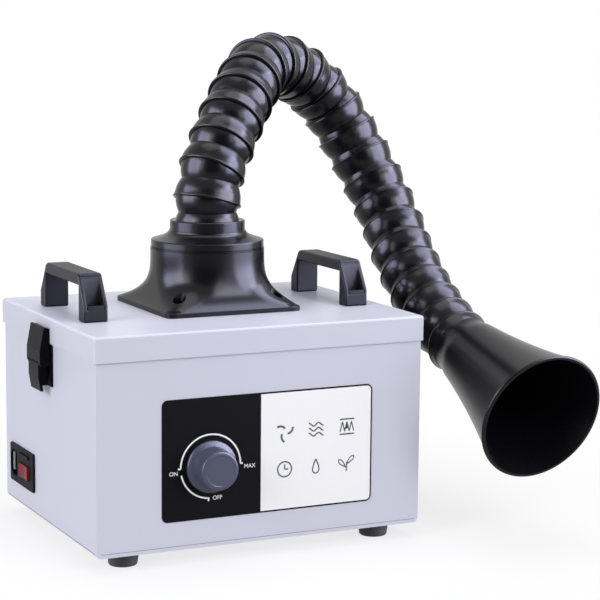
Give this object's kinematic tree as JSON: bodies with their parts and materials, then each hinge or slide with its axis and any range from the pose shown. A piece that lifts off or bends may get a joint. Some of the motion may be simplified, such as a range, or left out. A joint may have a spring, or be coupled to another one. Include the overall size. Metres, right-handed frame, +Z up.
{
  "type": "fume_extractor",
  "caption": "Bench fume extractor: pale filter case with lift-off lid, draw latches, handles and a jointed black suction arm.",
  "frame": {"origin": "on the resting plane of the feet, under the middle of the case", "axes": "+Z up, front panel faces -Y, +X to the right seen from the front"},
  "size_m": [0.5182, 0.4201, 0.504],
  "materials": {
    "pale_coat": "satin",
    "black_gloss": "gloss",
    "dark_plastic": "satin",
    "rubber": "matte",
    "steel": "satin",
    "latch_metal": "gloss",
    "label_film": "gloss",
    "knob_plastic": "satin",
    "module_plastic": "satin",
    "rocker_red": "gloss",
    "filter_media": "matte",
    "blower_plastic": "matte",
    "motor_shell": "satin",
    "board_green": "satin"
  },
  "bodies": {
    "case": {"case_body": "pale_coat", "rubber_feet": "rubber", "front_label": "label_film", "speed_control": "module_plastic", "inlet_housing": "module_plastic", "inlet_pins": "steel", "filter_shelf": "steel", "shelf_ledges": "steel", "main_filter": "filter_media", "prefilter": "filter_media", "blower_housing": "blower_plastic", "blower_motor": "motor_shell", "control_board": "board_green", "board_posts": "steel", "latch_base_left": "latch_metal", "latch_base_right": "latch_metal"},
    "lid": {"lid": "pale_coat", "lid_gasket": "rubber", "handle_left": "dark_plastic", "handle_right": "dark_plastic", "handle_screws": "steel", "arm_flange": "black_gloss", "flange_screws": "steel", "latch_keepers": "latch_metal"},
    "collar": {"swivel_collar": "black_gloss"},
    "knob": {"speed_knob": "knob_plastic", "control_shaft": "steel"},
    "rocker": {"switch_rocker": "rocker_red"},
    "fuse": {"fuse_drawer": "module_plastic"},
    "wheel": {"blower_wheel": "blower_plastic", "blower_spindle": "steel"},
    "arm_01": {"link_01": "black_gloss"},
    "arm_02": {"link_02": "black_gloss"},
    "arm_03": {"link_03": "black_gloss"},
    "arm_04": {"link_04": "black_gloss"},
    "arm_05": {"link_05": "black_gloss"},
    "arm_06": {"link_06": "black_gloss"},
    "arm_07": {"link_07": "black_gloss"},
    "arm_08": {"link_08": "black_gloss"},
    "arm_09": {"link_09": "black_gloss"},
    "arm_10": {"link_10": "black_gloss"},
    "arm_11": {"link_11": "black_gloss"},
    "arm_12": {"link_12": "black_gloss"},
    "arm_13": {"link_13": "black_gloss"},
    "arm_14": {"link_14": "black_gloss"},
    "arm_15": {"link_15": "black_gloss"},
    "arm_16": {"link_16": "black_gloss"},
    "arm_17": {"link_17": "black_gloss"},
    "arm_18": {"link_18": "black_gloss"},
    "arm_19": {"link_19": "black_gloss"},
    "arm_20": {"link_20": "black_gloss"},
    "arm_21": {"link_21": "black_gloss"},
    "arm_22": {"link_22": "black_gloss"},
    "suction_bell": {"nozzle": "black_gloss"},
    "lever_left": {"latch_lever_left": "latch_metal"},
    "hook_left": {"latch_hook_left": "latch_metal"},
    "lever_right": {"latch_lever_right": "latch_metal"},
    "hook_right": {"latch_hook_right": "latch_metal"}
  },
  "joints": [
    {"name": "lid_lift", "type": "slide", "parent": "case", "child": "lid", "axis": [0, 0, 1], "range_m": [0, 0.12]},
    {"name": "arm_swivel", "type": "hinge", "parent": "lid", "child": "collar", "pos_m": [0.003, 0.01, 0.287], "axis": [0, 0, 1], "range_deg": [-24, 140]},
    {"name": "arm_bend_01", "type": "hinge", "parent": "collar", "child": "arm_01", "pos_m": [0.003, 0.01, 0.3368], "axis": [-0.5, 0.866, 0], "range_deg": [-33.5, 1.5]},
    {"name": "arm_bend_02", "type": "hinge", "parent": "arm_01", "child": "arm_02", "pos_m": [0.01028, 0.0142, 0.36612], "axis": [0.5, -0.866, 0], "range_deg": [-1.5, 33.5]},
    {"name": "arm_bend_03", "type": "hinge", "parent": "arm_02", "child": "arm_03", "pos_m": [0.02428, 0.02228, 0.39198], "axis": [-0.7863, 0.5656, 0.2488], "range_deg": [-26.7, 8.3]},
    {"name": "arm_bend_04", "type": "hinge", "parent": "arm_03", "child": "arm_04", "pos_m": [0.04011, 0.03407, 0.41524], "axis": [0.7863, -0.5656, -0.2488], "range_deg": [-8.3, 26.7]},
    {"name": "arm_bend_05", "type": "hinge", "parent": "arm_04", "child": "arm_05", "pos_m": [0.05738, 0.04926, 0.43527], "axis": [-0.7863, 0.5656, 0.2488], "range_deg": [-26.7, 8.3]},
    {"name": "arm_bend_06", "type": "hinge", "parent": "arm_05", "child": "arm_06", "pos_m": [0.07563, 0.06745, 0.45158], "axis": [0.7863, -0.5656, -0.2488], "range_deg": [-8.3, 26.7]},
    {"name": "arm_bend_07", "type": "hinge", "parent": "arm_06", "child": "arm_07", "pos_m": [0.09439, 0.08819, 0.46375], "axis": [-0.5161, 0.7299, -0.4482], "range_deg": [-33.7, 1.3]},
    {"name": "arm_bend_08", "type": "hinge", "parent": "arm_07", "child": "arm_08", "pos_m": [0.11749, 0.10751, 0.46862], "axis": [0.5161, -0.7299, 0.4482], "range_deg": [-1.3, 33.7]},
    {"name": "arm_bend_09", "type": "hinge", "parent": "arm_08", "child": "arm_09", "pos_m": [0.14307, 0.12388, 0.46581], "axis": [-0.5161, 0.7299, -0.4482], "range_deg": [-33.7, 1.3]},
    {"name": "arm_bend_10", "type": "hinge", "parent": "arm_09", "child": "arm_10", "pos_m": [0.16911, 0.136, 0.45555], "axis": [0.5161, -0.7299, 0.4482], "range_deg": [-1.3, 33.7]},
    {"name": "arm_bend_11", "type": "hinge", "parent": "arm_10", "child": "arm_11", "pos_m": [0.19355, 0.14289, 0.43865], "axis": [-0.5161, 0.7299, -0.4482], "range_deg": [-33.7, 1.3]},
    {"name": "arm_bend_12", "type": "hinge", "parent": "arm_11", "child": "arm_12", "pos_m": [0.21443, 0.14403, 0.41645], "axis": [0.5161, -0.7299, 0.4482], "range_deg": [-1.3, 33.7]},
    {"name": "arm_bend_13", "type": "hinge", "parent": "arm_12", "child": "arm_13", "pos_m": [0.23011, 0.13931, 0.39072], "axis": [-0.6473, 0.5755, -0.4998], "range_deg": [-26.3, 8.7]},
    {"name": "arm_bend_14", "type": "hinge", "parent": "arm_13", "child": "arm_14", "pos_m": [0.24298, 0.13091, 0.36438], "axis": [0.6473, -0.5755, 0.4998], "range_deg": [-8.7, 26.3]},
    {"name": "arm_bend_15", "type": "hinge", "parent": "arm_14", "child": "arm_15", "pos_m": [0.25273, 0.119, 0.33804], "axis": [-0.6473, 0.5755, -0.4998], "range_deg": [-26.3, 8.7]},
    {"name": "arm_bend_16", "type": "hinge", "parent": "arm_15", "child": "arm_16", "pos_m": [0.25914, 0.10389, 0.31234], "axis": [0.6473, -0.5755, 0.4998], "range_deg": [-8.7, 26.3]},
    {"name": "arm_bend_17", "type": "hinge", "parent": "arm_16", "child": "arm_17", "pos_m": [0.26205, 0.08592, 0.28787], "axis": [-0.6473, 0.5755, -0.4998], "range_deg": [-26.3, 8.7]},
    {"name": "arm_bend_18", "type": "hinge", "parent": "arm_17", "child": "arm_18", "pos_m": [0.26141, 0.06551, 0.26521], "axis": [0.9969, 0.0422, -0.0665], "range_deg": [-12.5, 22.5]},
    {"name": "arm_bend_19", "type": "hinge", "parent": "arm_18", "child": "arm_19", "pos_m": [0.26096, 0.04321, 0.24441], "axis": [-0.9969, -0.0422, 0.0665], "range_deg": [-22.5, 12.5]},
    {"name": "arm_bend_20", "type": "hinge", "parent": "arm_19", "child": "arm_20", "pos_m": [0.26073, 0.01918, 0.22563], "axis": [0.9969, 0.0422, -0.0665], "range_deg": [-12.5, 22.5]},
    {"name": "arm_bend_21", "type": "hinge", "parent": "arm_20", "child": "arm_21", "pos_m": [0.2607, -0.00639, 0.209], "axis": [-0.9969, -0.0422, 0.0665], "range_deg": [-22.5, 12.5]},
    {"name": "arm_bend_22", "type": "hinge", "parent": "arm_21", "child": "arm_22", "pos_m": [0.26088, -0.03331, 0.19466], "axis": [0.9969, 0.0422, -0.0665], "range_deg": [-12.5, 22.5]},
    {"name": "arm_bend_23", "type": "hinge", "parent": "arm_22", "child": "suction_bell", "pos_m": [0.26127, -0.06137, 0.18271], "axis": [-0.9969, -0.0422, 0.0665], "range_deg": [-22.5, 12.5]},
    {"name": "speed_dial", "type": "hinge", "parent": "case", "child": "knob", "pos_m": [-0.0565, -0.1365, 0.0944], "axis": [0, 1, 0], "range_deg": [0, 270]},
    {"name": "mains_switch", "type": "hinge", "parent": "case", "child": "rocker", "pos_m": [-0.175, 0.0705, 0.0555], "axis": [0, 0, 1], "range_deg": [-9, 9]},
    {"name": "fuse_slide", "type": "slide", "parent": "case", "child": "fuse", "axis": [-1, 0, 0], "range_m": [0, 0.014]},
    {"name": "blower_spin", "type": "hinge", "parent": "case", "child": "wheel", "pos_m": [0, -0.015, 0.07], "axis": [0, 0, 1], "continuous": true},
    {"name": "latch_left_lever", "type": "hinge", "parent": "case", "child": "lever_left", "pos_m": [-0.179, 0.006, 0.193], "axis": [0, 1, 0], "range_deg": [0, 95]},
    {"name": "latch_left_hook", "type": "hinge", "parent": "lever_left", "child": "hook_left", "pos_m": [-0.1829, 0.006, 0.1805], "axis": [0, 1, 0], "range_deg": [-95, 0]},
    {"name": "latch_right_lever", "type": "hinge", "parent": "case", "child": "lever_right", "pos_m": [0.179, 0.006, 0.193], "axis": [0, -1, 0], "range_deg": [0, 95]},
    {"name": "latch_right_hook", "type": "hinge", "parent": "lever_right", "child": "hook_right", "pos_m": [0.1829, 0.006, 0.1805], "axis": [0, -1, 0], "range_deg": [-95, 0]}
  ],
  "couplings": [
    {"joint": "latch_left_hook", "follows": "latch_left_lever", "ratio": -1},
    {"joint": "latch_right_hook", "follows": "latch_right_lever", "ratio": -1}
  ]
}
